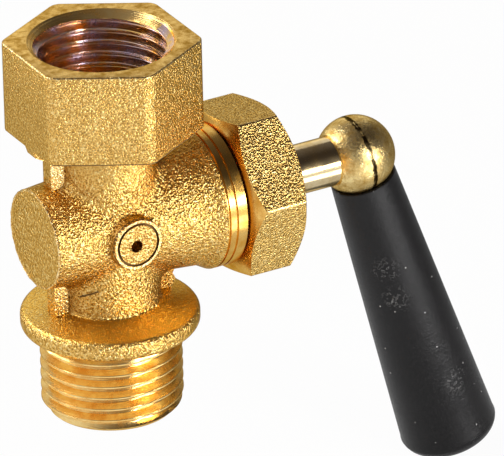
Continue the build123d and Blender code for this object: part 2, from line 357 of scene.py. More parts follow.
@dataclass(frozen=True)
class BlastedBrass:
    """Hot-forged brass, shot-blasted clean: a grain of pits that breaks every highlight into specks.

    Painted shade darkens the corners towards a brown tint, by ambient occlusion. The real pits are about
    0.1 mm; they are drawn at grain_mm, and below at low_grain_mm, so that they show at this size.
    """

    name: str = "forged_brass_blasted"
    glint: str = "#FFE39C"
    light: str = "#EBBA61"
    deep: str = "#AE8039"
    grain_mm: float = 0.19
    low_grain_mm: float | None = None
    dimple_share: float = 0.4
    dimple_ratio: float = 1.7
    swell_mm: float = 5.0
    relief_mm: float = 0.23
    low_relief_mm: float | None = None
    coarse_below_mm: float = 25.0
    fine_above_mm: float = 32.0
    scale: str = "#7A4E1C"
    corner_mm: float = 6.0
    corner_share: float = 0.6
    roughness: tuple[float, float] = (0.18, 0.3)

    @classmethod
    def worn(cls, name: str) -> "BlastedBrass":
        """Blasted brass whose grain was rubbed down at an edge, so that it shines."""
        return cls(
            name=name,
            glint="#FFF0C0",
            light="#F6CE82",
            deep="#C99246",
            relief_mm=0.12,
            corner_share=0.12,
            roughness=(0.14, 0.22),
        )

    def pits(
        self, tree: bpy.types.NodeTree, place: bpy.types.NodeSocket, size_mm: float
    ) -> bpy.types.NodeSocket:
        """Lays out the blasted grain: round shot dimples with a loose noise through them.

        Args:
            tree: The node tree.
            place: The coordinates.
            size_mm: Size of the noise; the dimples are wider.

        Returns:
            The height, from 0 to 1.
        """
        loose = speckle(tree, place, size_mm, detail=1.0)
        shot = add(tree, "ShaderNodeTexVoronoi", Vector=place, Scale=per_mm(self.dimple_ratio * size_mm))
        grain = add(tree, "ShaderNodeMix", Factor=self.dimple_share, in2=loose, in3=shot.outputs["Distance"])
        return grain.outputs[0]

    def material(self) -> bpy.types.Material:
        """Builds the node material.

        Returns:
            The new material.
        """
        material, tree, brass = brass_shader(self.name)
        place = place_on(tree)
        height = add(tree, "ShaderNodeSeparateXYZ", Vector=place).outputs["Z"]
        up = remap(tree, height, (self.coarse_below_mm * MM, self.fine_above_mm * MM))
        coarse = self.pits(tree, place, self.low_grain_mm or self.grain_mm)
        grain = add(
            tree, "ShaderNodeMix", Factor=up, in2=coarse, in3=self.pits(tree, place, self.grain_mm)
        ).outputs[0]
        swell = speckle(tree, place, self.swell_mm)
        # The grain's pits take the deep tone, and its peaks take pale painted glints that stand in for
        # sparkle
        tone = add(tree, "ShaderNodeValToRGB", Fac=grain)
        ramp = tone.color_ramp
        ramp.elements[0].position, ramp.elements[1].position = 0.30, 0.72
        ramp.elements[0].color, ramp.elements[1].color = linear(self.deep), linear(self.glint)
        ramp.elements.new(0.50).color = linear(self.light)
        depth = remap(tree, up, target=((self.low_relief_mm or self.relief_mm) * MM, self.relief_mm * MM))
        broad = bump(tree, swell, 0.4, 0.25 * MM)
        # Painted shade: ambient occlusion darkens the corners towards a brown tint
        whole_piece = {"samples": 8, "only_local": True}
        occlusion_node = add(tree, "ShaderNodeAmbientOcclusion", whole_piece, Distance=self.corner_mm * MM)
        painted_corner_shade = remap(tree, occlusion_node.outputs["AO"], (0.5, 0.95), (self.corner_share, 0.0))
        colour = blend(tree, painted_corner_shade, tone.outputs["Color"], self.scale)
        rough = remap(tree, swell, target=self.roughness)
        wire(tree, brass, colour, rough, bump(tree, grain, 1.0, depth, broad))
        return material


@dataclass(frozen=True)
class TurnedBrass:
    """Brass turned on a lathe: bright, with fine rings that draw the highlights out round the axis.

    The real tool marks are about 0.05 mm apart; they are drawn at ring_mm so that they show.
    """

    name: str
    axis: TurnAxis
    light: str = "#F4C873"
    deep: str = "#DFA548"
    ring_mm: float = 0.16
    cloud_mm: float = 2.5
    relief: float = 0.35
    roughness: tuple[float, float] = (0.14, 0.30)

    def material(self) -> bpy.types.Material:
        """Builds the node material.

        Returns:
            The new material.
        """
        material, tree, brass = brass_shader(self.name)
        place = place_on(tree)
        off = vectors(tree, "SUBTRACT", place, self.axis.centre)
        flat = vectors(tree, "MULTIPLY", off, self.axis.across)
        lead = vectors(tree, "DOT_PRODUCT", vectors(tree, "SUBTRACT", off, flat), (1, 1, 1))
        feed = maths(tree, "ADD", vectors(tree, "LENGTH", flat), lead)
        patch = remap(tree, speckle(tree, place, self.cloud_mm, 4.0, 0.65), (0.36, 0.64))
        rough = remap(tree, patch, target=(self.roughness[1], self.roughness[0]))
        marks = bump(tree, banding(tree, feed, self.ring_mm), self.relief, 0.03 * MM)
        wire(tree, brass, blend(tree, patch, self.deep, self.light), rough, marks)
        return material


@dataclass(frozen=True)
class TumbledBrass:
    """Brass ball, tumbled and then handled: pale, with olive tarnish clouds, pin pits and a dirty seam."""

    name: str = "brass_ball_tumbled"
    centre_mm: tuple[float, float, float] = (41.596, 0.0, 16.75)
    seam_tilt_deg: float = 8.0
    seam_mm: float = 0.34
    clean: str = "#FFE5A2"
    dull: str = "#B68F46"
    dirt: str = "#2E2214"
    cloud_mm: float = 1.7
    pit_mm: float = 0.36
    pit_depth_mm: float = 0.1
    roughness: tuple[float, float] = (0.19, 0.44)

    def material(self) -> bpy.types.Material:
        """Builds the node material.

        Returns:
            The new material.
        """
        material, tree, brass = brass_shader(self.name)
        place = place_on(tree)
        tilt = radians(self.seam_tilt_deg)
        cloud = speckle(tree, place, self.cloud_mm, 6.0, 0.7)
        pits = speckle(tree, place, self.pit_mm, 2.0, 0.6)
        worn = remap(tree, cloud, (0.38, 0.66))
        off = vectors(tree, "SUBTRACT", place, Vector(self.centre_mm) * MM)
        side = vectors(tree, "DOT_PRODUCT", off, (cos(tilt), 0, sin(tilt)))
        ragged = maths(tree, "MULTIPLY", pits, 2 * self.seam_mm * MM)
        grime = maths(tree, "LESS_THAN", maths(tree, "ABSOLUTE", side), ragged)
        dirty = maths(tree, "MULTIPLY", grime, remap(tree, cloud, (0.36, 0.52), (0.25, 1.0)))
        soiled = blend(tree, dirty, blend(tree, worn, self.clean, self.dull), self.dirt)
        rough = remap(tree, worn, target=self.roughness)
        wire(tree, brass, soiled, rough, bump(tree, pits, 0.9, self.pit_depth_mm * MM))
        return material


@dataclass(frozen=True)
class MouldedPlastic:
    """Black phenolic, moulded and turned: a satin skin with fine marks across it, pin specks and scuffs."""

    name: str = "phenolic_black_moulded"
    body: str = "#060506"
    bloom: str = "#1C1A1B"
    speck: str = "#C9C8C6"
    skin_mm: float = 0.22
    skin_depth_mm: float = 0.09
    mottle_mm: float = 6.0
    speck_mm: float = 1.9
    speck_radius: float = 0.055
    scuff_mm: float = 0.6
    knocks_mm: tuple[tuple[float, float, float], ...] = (
        (43.7, -4.7, -0.8),
        (45.2, -5.0, -6.0),
        (54.3, -6.7, -21.4),
    )
    knock_reach_mm: float = 2.6
    knock_share: float = 0.4
    lever_tilt_deg: float = 17.2
    mark_mm: float = 0.3
    mark_depth_mm: float = 0.05
    roughness: tuple[float, float] = (0.16, 0.27)
    refraction: float = 1.5
    sheen: float = 0.32

    def material(self) -> bpy.types.Material:
        """Builds the node material.

        Returns:
            The new material.
        """
        material, tree, plastic = shader(self.name)
        place = place_on(tree)
        skin = speckle(tree, place, self.skin_mm)
        dots = add(tree, "ShaderNodeTexVoronoi", Vector=place, Scale=per_mm(self.speck_mm))
        marks = maths(tree, "LESS_THAN", dots.outputs["Distance"], self.speck_radius)
        torn = maths(tree, "COMPARE", speckle(tree, place, self.scuff_mm, 1.0), 0.58, 0.014)
        for knock in self.knocks_mm:
            reach = vectors(tree, "DISTANCE", place, Vector(knock) * MM)
            near = remap(tree, reach, (0.0, self.knock_reach_mm * MM), (self.knock_share, 0.0))
            marks = maths(tree, "MAXIMUM", marks, maths(tree, "MULTIPLY", torn, near))
        tone = blend(tree, remap(tree, skin, (0.42, 0.75)), self.body, self.bloom)
        rough = remap(tree, speckle(tree, place, self.mottle_mm, 5.0, 0.6), (0.3, 0.7), self.roughness)
        tilt = radians(self.lever_tilt_deg)
        along = vectors(tree, "DOT_PRODUCT", place, (sin(tilt), 0, -cos(tilt)))
        ground = bump(tree, banding(tree, along, self.mark_mm), 0.8, self.mark_depth_mm * MM)
        orange_peel = bump(tree, skin, 1.0, self.skin_depth_mm * MM, ground)
        plastic.inputs["IOR"].default_value = self.refraction
        plastic.inputs["Specular IOR Level"].default_value = self.sheen
        wire(tree, plastic, blend(tree, marks, tone, self.speck), rough, orange_peel)
        return material


@dataclass(frozen=True)
class PlainStock:
    """Drawn steel, moulded PTFE, or dark oxide that also serves as painted shade: an even colour with a faint
    streaked skin.
    """

    name: str
    light: str
    deep: str
    metallic: float
    streak_mm: float = 0.6
    roughness: tuple[float, float] = (0.25, 0.4)

    def material(self) -> bpy.types.Material:
        """Builds the node material.

        Returns:
            The new material.
        """
        material, tree, stock = shader(self.name)
        streak = speckle(tree, place_on(tree), self.streak_mm, 3.0)
        stock.inputs["Metallic"].default_value = self.metallic
        colour = blend(tree, streak, self.deep, self.light)
        rough = remap(tree, streak, target=self.roughness)
        wire(tree, stock, colour, rough, bump(tree, streak, 0.15, 0.02 * MM))
        return material


def cad_copy(node: str) -> bmesh.types.BMesh:
    """Opens a merged copy of a CAD node's mesh.

    Args:
        node: The CAD node's name.

    Returns:
        A new bmesh in metres.
    """
    bm = bmesh.new()
    bm.from_mesh(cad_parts[node].data)
    bmesh.ops.remove_doubles(bm, verts=bm.verts[:], dist=0.002 * MM)
    return bm


def radius_of(point: Vector) -> float:
    """Distance of a point from the flow axis, in metres."""
    return sqrt(point.x**2 + point.y**2)


def off_plug(point: Vector) -> float:
    """Distance of a point in metres from the plug's axis, in millimetres."""
    return sqrt(point.y**2 + (point.z - TurnAxis.PLUG.centre.z) ** 2) / MM


def set_radii(
    bm: bmesh.types.BMesh, radius_at: Callable[[float, float], float], outward: bool
) -> None:
    """Moves a thread's vertices to the radius that a rule gives, and turns its faces one way.

    Args:
        bm: The bmesh of the thread.
        radius_at: Gives the radius wanted for a vertex's own radius and height, all in millimetres.
        outward: Whether the faces look away from the flow axis.
    """
    for vert in bm.verts:
        r, z = radius_of(vert.co) / MM, vert.co.z / MM
        share = radius_at(r, z) / r
        vert.co.x *= share
        vert.co.y *= share
    bmesh.ops.recalc_face_normals(bm, faces=bm.faces[:])
    first = bm.faces[0]
    looks_out = first.normal.dot(first.calc_center_median() * Vector((1, 1, 0))) > 0
    if looks_out != outward:
        bmesh.ops.reverse_faces(bm, faces=bm.faces[:])


def settle(
    bm: bmesh.types.BMesh,
    name: str,
    body: str,
    crease_deg: float = 32.0,
    crisp: tuple[Zone, ...] = (),
) -> bpy.types.Object:
    """Makes an object from a bmesh, smooth except at its creases, and lets it ride on a body.

    Args:
        bm: The finished bmesh, which is freed.
        name: The piece's name.
        body: The CAD body that it moves with.
        crease_deg: Edges sharper than this stay hard.
        crisp: Zones of the body whose edges stay hard at half that angle.

    Returns:
        The linked object.
    """
    crisp_slots = {zone.value for zone in crisp}
    for face in bm.faces:
        face.smooth = True
    for edge in bm.edges:
        on_crisp = any(face.material_index in crisp_slots for face in edge.link_faces)
        edge.smooth = edge.calc_face_angle(0.0) < radians(crease_deg / 2 if on_crisp else crease_deg)
    mesh = bpy.data.meshes.new(name)
    bm.to_mesh(mesh)
    bm.free()
    piece = bpy.data.objects.new(name, mesh)
    bpy.context.scene.collection.objects.link(piece)
    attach(piece, body)
    LOG.info("%s: %d faces", name, len(mesh.polygons))
    return piece


def soften(
    bm: bmesh.types.BMesh, wanted: Callable[[bmesh.types.BMEdge], bool], width_mm: float, worn_slot: int
) -> None:
    """Rounds chosen sharp edges of a CAD copy, as tumbling wears them, after its flat faces are made whole.

    Args:
        bm: The bmesh.
        wanted: Says whether an edge is rounded.
        width_mm: Width of the rounding.
        worn_slot: Material slot of the rounded edges.
    """
    bmesh.ops.dissolve_limit(
        bm, angle_limit=radians(0.4), verts=bm.verts[:], edges=bm.edges[:], delimit={"MATERIAL"}
    )
    edges = [e for e in bm.edges if e.is_manifold and e.calc_face_angle(0.0) > radians(18) and wanted(e)]
    rounded = bmesh.ops.bevel(
        bm,
        geom=edges,
        offset=width_mm * MM,
        offset_type="OFFSET",
        affect="EDGES",
        segments=3,
        profile=0.5,
        material=-1,
        clamp_overlap=True,
    )
    for face in rounded["faces"]:
        face.material_index = worn_slot


@dataclass
class PipeThread:
    """A parallel pipe thread of 55 degree form, cut as a true right-hand helix. Sizes in millimetres."""

    major_r: float = 10.4775
    pitch: float = 1.814
    steps: int = 96

    @property
    def depth(self) -> float:
        """Radial depth of the thread."""
        return 0.640327 * self.pitch

    @property
    def minor_r(self) -> float:
        """Radius at the thread's root on a male thread."""
        return self.major_r - self.depth

    def helix(self, low_z: float, high_z: float) -> bmesh.types.BMesh:
        """Sweeps one turn's section along the helix and trims it between two heights.

        Args:
            low_z: Height of the lower end.
            high_z: Height of the upper end.

        Returns:
            An open bmesh of the thread's surface.
        """
        flat = 0.1665 * self.pitch / 2
        half = self.pitch / 2
        ease = 0.05
        section = (
            (self.minor_r + ease / 2, 0.0),
            (self.minor_r, flat * 0.5),
            (self.minor_r + ease, flat + ease / 2),
            (self.major_r - ease, half - flat - ease / 2),
            (self.major_r, half - flat * 0.6),
            (self.major_r, half + flat * 0.6),
            (self.major_r - ease, half + flat + ease / 2),
            (self.minor_r + ease, self.pitch - flat - ease / 2),
            (self.minor_r, self.pitch - flat * 0.5),
            (self.minor_r + ease / 2, self.pitch),
        )
        turns = int((high_z - low_z) / self.pitch) + 3
        start = low_z - 2 * self.pitch
        bm = bmesh.new()
        verts = [bm.verts.new((r * MM, 0, (start + z) * MM)) for r, z in section]
        edges = [bm.edges.new(pair) for pair in zip(verts, verts[1:])]
        bmesh.ops.spin(
            bm,
            geom=verts + edges,
            cent=(0, 0, 0),
            axis=(0, 0, 1),
            dvec=(0, 0, self.pitch / self.steps * MM),
            angle=2 * pi * turns,
            steps=self.steps * turns,
            use_merge=False,
            use_duplicate=False,
        )
        bmesh.ops.remove_doubles(bm, verts=bm.verts[:], dist=0.004 * MM)
        for height, up in ((low_z, -1), (high_z, 1)):
            bmesh.ops.bisect_plane(
                bm,
                geom=bm.verts[:] + bm.edges[:] + bm.faces[:],
                plane_co=(0, 0, height * MM),
                plane_no=(0, 0, up),
                clear_outer=True,
            )
        return bm


@dataclass
class ValveBody:
    """The forging: hexagon socket, necks, barrel with its vent, flange and threaded shank. Millimetres."""

    thread: PipeThread = field(default_factory=PipeThread)
    shank_len: float = 12.9
    shank_chamfer: float = 1.2
    runout: float = 1.4
    hex_bottom_z: float = 31.7
    hex_top_z: float = 45.7
    socket_floor_z: float = 33.7
    hex_half_af: float = 12.7475
    gusset_half_w: float = 5.0
    corner_r: float = 13.9
    corner_chamfer: float = 0.26
    corner_step: float = 0.1
    hex_inside_r: float = 11.3475
    mouth_r: float = 10.8475
    mouth_slope: float = 1.6
    collar_x: float = 14.3
    collar_end_x: float = 17.45
    collar_r: float = 10.75
    groove_x: float = 15.05
    groove_w: float = 0.34
    groove_shift: float = 0.5
    vent_face_y: float = -9.45
    vent_r: float = 3.95
    plug_axis_z: float = 16.75
    barrel_end_x: float = -12.0
    barrel_end_r: float = 7.45
    bead_r: float = 0.18
    neck_r: float = 7.6
    rib_reach: float = 9.6
    rib_half_w: float = 1.6
    lap_azimuth: float = -62.0
    lap_sweep: float = 22.0
    lap_z: float = 7.6
    lap_rise: float = 1.3
    lap_r: float = 0.13
    flange_rim_h: float = 2.9
    flange_top_z: float = 4.4
    edge_round: float = 0.28

    def build(self) -> bpy.types.Object:
        """Joins the forging with its two threads, its trim bead and its lap.

        Returns:
            The finished piece.
        """
        bm = cad_copy("valve_body")
        self.clear_cad_threads(bm)
        self.zone(bm)
        self.spread_grooves(bm)
        self.square_corners(bm)
        soften(bm, self.is_hex_edge, self.edge_round, Zone.WORN.value)
        self.shade_under_hexagon(bm)
        for part, zone in (
            (self.shank_thread(), Zone.THREAD),
            (self.socket_thread(), Zone.TAPPED),
            (self.trim_line(), Zone.WORN),
            # The lap takes the dark oxide colour, which is oxide in the fold and also painted shade along it
            (self.forging_lap(), Zone.OXIDE_AND_SHADE),
        ):
            for face in part.faces:
                middle = face.calc_center_median() / MM
                on_mouth = abs(radius_of(middle) - self.mouth_at(middle.z)) < 0.08
                face.material_index = Zone.THREAD.value if on_mouth else zone.value
            mesh = bpy.data.meshes.new("thread_cut")
            part.to_mesh(mesh)
            part.free()
            bm.from_mesh(mesh)
            bpy.data.meshes.remove(mesh)
        piece = settle(bm, "valve_body_forging", "valve", crisp=(Zone.THREAD, Zone.TAPPED))
        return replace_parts(piece, "valve_body")

    def clear_cad_threads(self, bm: bmesh.types.BMesh) -> None:
        """Takes off the ring grooves of the CAD model, on the shank and in the socket.

        Args:
            bm: The copy of the forging.
        """
        end_r = self.thread.major_r - self.shank_chamfer
        gone = []
        for face in bm.faces:
            middle = face.calc_center_median() / MM
            r = radius_of(middle)
            on_shank = HAIR / 2 - self.shank_len < middle.z < -HAIR and r > end_r - 0.3
            at_socket = self.socket_floor_z + HAIR / 2 < middle.z < self.hex_top_z - HAIR / 2
            if on_shank or (at_socket and r < self.mouth_r + SLACK):
                gone.append(face)
        bmesh.ops.delete(bm, geom=gone, context="FACES")

    def is_hex_edge(self, edge: bmesh.types.BMEdge) -> bool:
        """Whether an edge is one of the hexagon's outer edges."""
        ends = [v.co / MM for v in edge.verts]
        return all(p.z > self.hex_bottom_z - HAIR and radius_of(p) > self.hex_inside_r for p in ends)

    def spread_grooves(self, bm: bmesh.types.BMesh) -> None:
        """Moves the collar's first groove up to the barrel's flare, where the photo has it.

        Args:
            bm: The copy of the forging.
        """
        for vert in bm.verts:
            in_groove = abs(vert.co.x / MM - self.groove_x) < self.groove_w / 2 + SLACK
            if in_groove and off_plug(vert.co) > self.collar_r - 0.5:
                vert.co.x -= self.groove_shift * MM

    def square_corners(self, bm: bmesh.types.BMesh) -> None:
        """Makes way for the hexagon's rounding: flattens its corner chamfers and draws the gussets in.

        Args:
            bm: The copy of the forging.
        """
        rim = []
        corner_r = self.corner_r * MM
        for level in (self.hex_bottom_z, self.hex_top_z):
            for vert in bm.verts:
                if radius_of(vert.co) > corner_r and abs(vert.co.z / MM - level) < self.corner_chamfer:
                    vert.co.z = level * MM
                    rim.append(vert)
        bmesh.ops.remove_doubles(bm, verts=rim, dist=self.corner_step * MM)
        rounded_x = self.hex_half_af - self.edge_round
        for vert in bm.verts:
            x, y, z = (abs(c) / MM for c in vert.co)
            under = abs(z - self.hex_bottom_z) < HAIR and y < self.gusset_half_w
            if under and rounded_x < x < self.hex_half_af - HAIR:
                vert.co.x *= (rounded_x - SLACK) / x
        bmesh.ops.dissolve_degenerate(bm, dist=0.001 * MM, edges=bm.edges[:])

    def shade_under_hexagon(self, bm: bmesh.types.BMesh) -> None:
        """Paints shade on the hexagon's lower edge in the dark oxide colour, as a dark line under the
        overhang.

        Args:
            bm: The copy of the forging.
        """
        for face in bm.faces:
            middle = face.calc_center_median() / MM
            low = abs(middle.z - self.hex_bottom_z) < self.edge_round + SLACK
            # Painted shade: a dark line along the hexagon's lower edge, except at the gussets
            if low and face.material_index == Zone.WORN.value and radius_of(middle) > self.hex_inside_r:
                on_gusset_side = abs(middle.x) > self.hex_half_af - self.edge_round - SLACK
                face.material_index = (Zone.BLASTED if on_gusset_side else Zone.OXIDE_AND_SHADE).value

    def zone(self, bm: bmesh.types.BMesh) -> None:
        """Gives each face of the forging the slot of its finish.

        Args:
            bm: The copy of the forging.
        """
        for face in bm.faces:
            middle = face.calc_center_median() / MM
            off_axis = off_plug(middle * MM)
            face.material_index = Zone.BLASTED.value
            from_vent = sqrt(middle.x**2 + (middle.z - self.plug_axis_z) ** 2)
            if middle.z > self.hex_top_z - 0.2 and face.normal.z > 0.3:
                face.material_index = Zone.FACED.value
            elif middle.y < self.vent_face_y + 0.6 and from_vent < self.vent_r:
                face.material_index = self.vent_zone(middle.y - self.vent_face_y, from_vent).value
            elif self.on_collar(face) and off_axis > self.collar_r - 2.0:
                face.material_index = Zone.COLLAR.value
            elif middle.z < 0.05 and face.normal.z < -0.5:
                face.material_index = Zone.FACED.value
            elif self.neck_r < -middle.x < self.rib_reach + 0.1 and 1.0 < abs(middle.y) < self.rib_half_w:
                face.material_index = Zone.WORN.value if abs(face.normal.y) > 0.9 else Zone.BLASTED.value
            elif self.flange_rim_h - 0.7 < middle.z < self.flange_top_z + 0.2 and face.normal.z > 0.7:
                face.material_index = Zone.FLANGE.value

    def on_collar(self, face: bmesh.types.BMFace) -> bool:
        """Whether a face lies wholly between the collar's two ends."""
        return all(self.collar_x - 0.05 < v.co.x / MM < self.collar_end_x + 0.6 for v in face.verts)

    def vent_zone(self, depth: float, from_vent: float) -> Zone:
        """Finish of the vent's face: a bright rim, painted shade down in the groove in the dark oxide colour,
        and the blasted disc.

        Args:
            depth: Depth under the face.
            from_vent: Distance from the vent's axis.

        Returns:
            The zone.
        """
        # Painted shade in the groove
        if depth > 0.2:
            return Zone.OXIDE_AND_SHADE
        return Zone.WORN if from_vent > self.vent_r - 0.5 else Zone.VENT

    def shank_thread(self) -> bmesh.types.BMesh:
        """Cuts the male thread, run out under the flange and chamfered at its end.

        Returns:
            The thread's surface.
        """
        bm = self.thread.helix(-self.shank_len, 0.2)
        end_r = self.thread.major_r - self.shank_chamfer

        def radius_at(r: float, z: float) -> float:
            """Radius with the runout filled in and the end chamfered.

            Args:
                r: The vertex's own radius.
                z: Its height.

            Returns:
                The radius wanted.
            """
            fade = min(max((z + self.runout + 0.5) / self.runout, 0.0), 1.0)
            filled = max(r, self.thread.minor_r + fade * self.thread.depth)
            return min(filled, end_r + z + self.shank_len)

        set_radii(bm, radius_at, outward=True)
        return bm

    def mouth_at(self, z: float) -> float:
        """Radius of the socket's countersunk mouth at a height."""
        return self.mouth_r - self.mouth_slope * (self.hex_top_z - z)

    def socket_thread(self) -> bmesh.types.BMesh:
        """Cuts the female thread, run out at the socket's floor and opened at its mouth.

        Returns:
            The thread's surface.
        """
        bm = self.thread.helix(self.socket_floor_z, self.hex_top_z)

        def radius_at(r: float, z: float) -> float:
            """Radius with the runout filled in and the mouth countersunk.

            Args:
                r: The vertex's own radius.
                z: Its height.

            Returns:
                The radius wanted.
            """
            fade = min(max((z - self.socket_floor_z - 0.4) / self.runout, 0.0), 1.0)
            filled = min(r, self.thread.minor_r + fade * self.thread.depth)
            return max(filled, self.mouth_at(z))

        set_radii(bm, radius_at, outward=False)
        return bm

    def trim_line(self) -> bmesh.types.BMesh:
        """Runs the ragged bead that trimming the flash left round the barrel's closed end.

        Returns:
            A closed bmesh.
        """
        middle = Vector((self.barrel_end_x + 0.15, 0, self.plug_axis_z + self.barrel_end_r - 0.15)) * MM
        bm = bmesh.new()
        ring = bmesh.ops.create_circle(bm, segments=8, radius=self.bead_r * MM)["verts"]
        turn = Matrix.Translation(middle) @ Matrix.Rotation(pi / 2, 4, "X")
        bmesh.ops.transform(bm, matrix=turn, verts=ring)
        bmesh.ops.spin(
            bm,
            geom=bm.verts[:] + bm.edges[:],
            cent=(0, 0, self.plug_axis_z * MM),
            axis=(1, 0, 0),
            angle=2 * pi,
            steps=360,
            use_merge=True,
        )
        bmesh.ops.remove_doubles(bm, verts=bm.verts[:], dist=0.001 * MM)
        for vert in bm.verts:
            vert.co += noise.noise_vector(vert.co * per_mm(0.7)) * self.bead_r * 0.5 * MM
        bmesh.ops.recalc_face_normals(bm, faces=bm.faces[:])
        return bm

    def forging_lap(self) -> bmesh.types.BMesh:
        """Lays the short lip of a cold lap on the lower neck, climbing a little to the right.

        Returns:
            A closed bmesh.
        """
        bm = bmesh.new()
        lip = bmesh.ops.create_circle(bm, segments=6, radius=self.lap_r * MM)["verts"]
        start = Vector((sin(radians(self.lap_azimuth)), -cos(radians(self.lap_azimuth)), 0)) * self.neck_r
        stand = Matrix.Rotation(radians(self.lap_azimuth), 4, "Z") @ Matrix.Rotation(pi / 2, 4, "Y")
        place = Matrix.Translation((start + Vector((0, 0, self.lap_z))) * MM) @ stand
        bmesh.ops.transform(bm, matrix=place, verts=lip)
        steps = 40
        bmesh.ops.spin(
            bm,
            geom=bm.verts[:] + bm.edges[:],
            cent=(0, 0, 0),
            axis=(0, 0, 1),
            dvec=(0, 0, self.lap_rise / steps * MM),
            angle=radians(self.lap_sweep),
            steps=steps,
        )
        bmesh.ops.holes_fill(bm, edges=bm.edges[:])
        for vert in bm.verts:
            vert.co += noise.noise_vector(vert.co * per_mm(0.6)) * self.lap_r * 0.7 * MM
        bmesh.ops.recalc_face_normals(bm, faces=bm.faces[:])
        return bm

    def dress(self, piece: bpy.types.Object) -> None:
        """Puts the body's finishes in their slots.

        Args:
            piece: The finished piece.
        """
        finishes = (
            BlastedBrass(low_grain_mm=0.25, low_relief_mm=0.32),
            TurnedBrass(
                "brass_faced_flow",
                TurnAxis.FLOW,
                light="#EAC781",
                deep="#BC9147",
                cloud_mm=1.1,
                relief=0.8,
                roughness=(0.18, 0.4),
            ),
            TurnedBrass("brass_turned_collar", TurnAxis.PLUG),
            TurnedBrass(
                "brass_cut_thread",
                TurnAxis.FLOW,
                light="#FFDF98",
                deep="#F0BE6C",
                relief=1.0,
                roughness=(0.16, 0.3),
            ),
            BlastedBrass("vent_brass_blasted", light="#C09349", deep="#8E6228", grain_mm=0.2, relief_mm=0.12),
            # The flange's top gets a paler brass as painted light, standing in for light that the barrel
            # throws down on it
            BlastedBrass(
                "flange_brass_painted_light",
                light="#FFD06A",
                deep="#EAB050",
                grain_mm=0.2,
                relief_mm=0.12,
                corner_share=0.3,
            ),
            # The socket's thread gets paler colours as painted light in the recess, with pale purple patches
            # as painted reflections of the dark room
            TurnedBrass(
                "brass_tapped_thread_painted_light",
                TurnAxis.FLOW,
                light="#FFD486",
                deep="#E4D4F0",
                ring_mm=0.3,
                cloud_mm=3.4,
                relief=1.0,
                roughness=(0.14, 0.28),
            ),
            BlastedBrass.worn("forged_brass_worn"),
            # Dark oxide colour, which is also painted shade in the vent's groove, under the hexagon and along
            # the lap
            PlainStock("oxide_and_painted_shade", "#8F6A34", "#553A1A", 0.7, roughness=(0.4, 0.6)),
        )
        for finish in finishes:
            piece.data.materials.append(finish.material())


@dataclass
class GlandNut:
    """The hexagon cap nut: blasted flats, turned ends and rubbed corners. Millimetres."""

    stem_bore_r: float = 4.5
    outside_r: float = 10.9
    turn_deg: float = 7.6

    def build(self) -> bpy.types.Object:
        """Copies the nut and marks its turned ends and rubbed corners.

        Returns:
            The finished piece.
        """
        bm = cad_copy("gland_nut")
        for face in bm.faces:
            off_axis = off_plug(face.calc_center_median())
            turned = abs(face.normal.x) > 0.6 and off_axis > self.stem_bore_r
            facing = degrees(atan2(face.normal.y, face.normal.z))
            off_flat = abs((facing - self.turn_deg + 30) % 60 - 30)
            corner = abs(face.normal.x) < 0.1 and off_axis > self.outside_r and off_flat > 2
            face.material_index = 1 if turned else 2 if corner else 0
        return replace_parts(settle(bm, "gland_nut_hex", "valve"), "gland_nut")

    def dress(self, piece: bpy.types.Object) -> None:
        """Puts the nut's finishes in their slots.

        Args:
            piece: The finished piece.
        """
        for finish in (
            BlastedBrass("nut_brass_blasted", light="#F3C873", grain_mm=0.21, relief_mm=0.31),
            TurnedBrass("brass_turned_nut_end", TurnAxis.PLUG, relief=0.45),
            BlastedBrass.worn("nut_brass_worn"),
        ):
            piece.data.materials.append(finish.material())


@dataclass
class Grip:
    """The tapered plastic grip, spun about the lever's axis. Millimetres."""

    ball: tuple[float, float, float] = (41.596, 0.0, 16.75)
    tilt_deg: float = 17.2
    cup_r: float = 5.96
    top: float = 3.91
    top_r: float = 4.95
    lip: float = 0.45
    end: float = 53.0
    end_r: float = 7.45
    end_round: float = 2.4
    rod_r: float = 1.79
    rod_end: float = 32.04
    steps: int = 128

    def build(self) -> bpy.types.Object:
        """Spins the grip's outline and sets it under the ball.

        Returns:
            The finished piece.
        """
        slope = (self.end_r - self.top_r) / (self.end - self.top)
        cup_start = self.top_r - self.lip
        outline = [(0.0, -self.rod_end), (self.rod_r, -self.rod_end)]
        outline.append((self.rod_r, -sqrt(self.cup_r**2 - self.rod_r**2)))
        outline += [(r, -sqrt(self.cup_r**2 - r**2)) for r in (2.4, 3.0, 3.6, 4.1, cup_start - 0.05)]
        outline += [
            (cup_start + 0.06, -self.top - 0.01),
            (self.top_r - 0.12, -self.top),
            (self.top_r, -self.top - 0.12),
        ]
        outline += [(self.top_r + slope * s, -self.top - s) for s in (6.0, 16.0, 28.0, 40.0)]
        corner = Vector((self.end_r - self.end_round, self.end_round - self.end))
        outline.append((self.end_r - slope * self.end_round, self.end_round - self.end))
        for share in range(1, 9):
            turn = radians(90 * share / 8)
            outline.append((corner.x + self.end_round * cos(turn), corner.y - self.end_round * sin(turn)))
        outline += [(2.5, -self.end + 0.05), (0.0, -self.end + 0.06)]
        bm = bmesh.new()
        verts = [bm.verts.new((r * MM, 0, z * MM)) for r, z in outline]
        edges = [bm.edges.new(pair) for pair in zip(verts, verts[1:])]
        bmesh.ops.spin(
            bm,
            geom=verts + edges,
            cent=(0, 0, 0),
            axis=(0, 0, 1),
            angle=2 * pi,
            steps=self.steps,
            use_merge=True,
        )
        bmesh.ops.remove_doubles(bm, verts=bm.verts[:], dist=0.001 * MM)
        bmesh.ops.recalc_face_normals(bm, faces=bm.faces[:])
        place = Matrix.Translation(Vector(self.ball) * MM) @ Matrix.Rotation(-radians(self.tilt_deg), 4, "Y")
        bmesh.ops.transform(bm, matrix=place, verts=bm.verts[:])
        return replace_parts(settle(bm, "handle_grip_moulded", "lever", 40.0), "handle_grip")

    def dress(self, piece: bpy.types.Object) -> None:
        """Gives the grip its plastic."""
        piece.data.materials.append(MouldedPlastic().material())


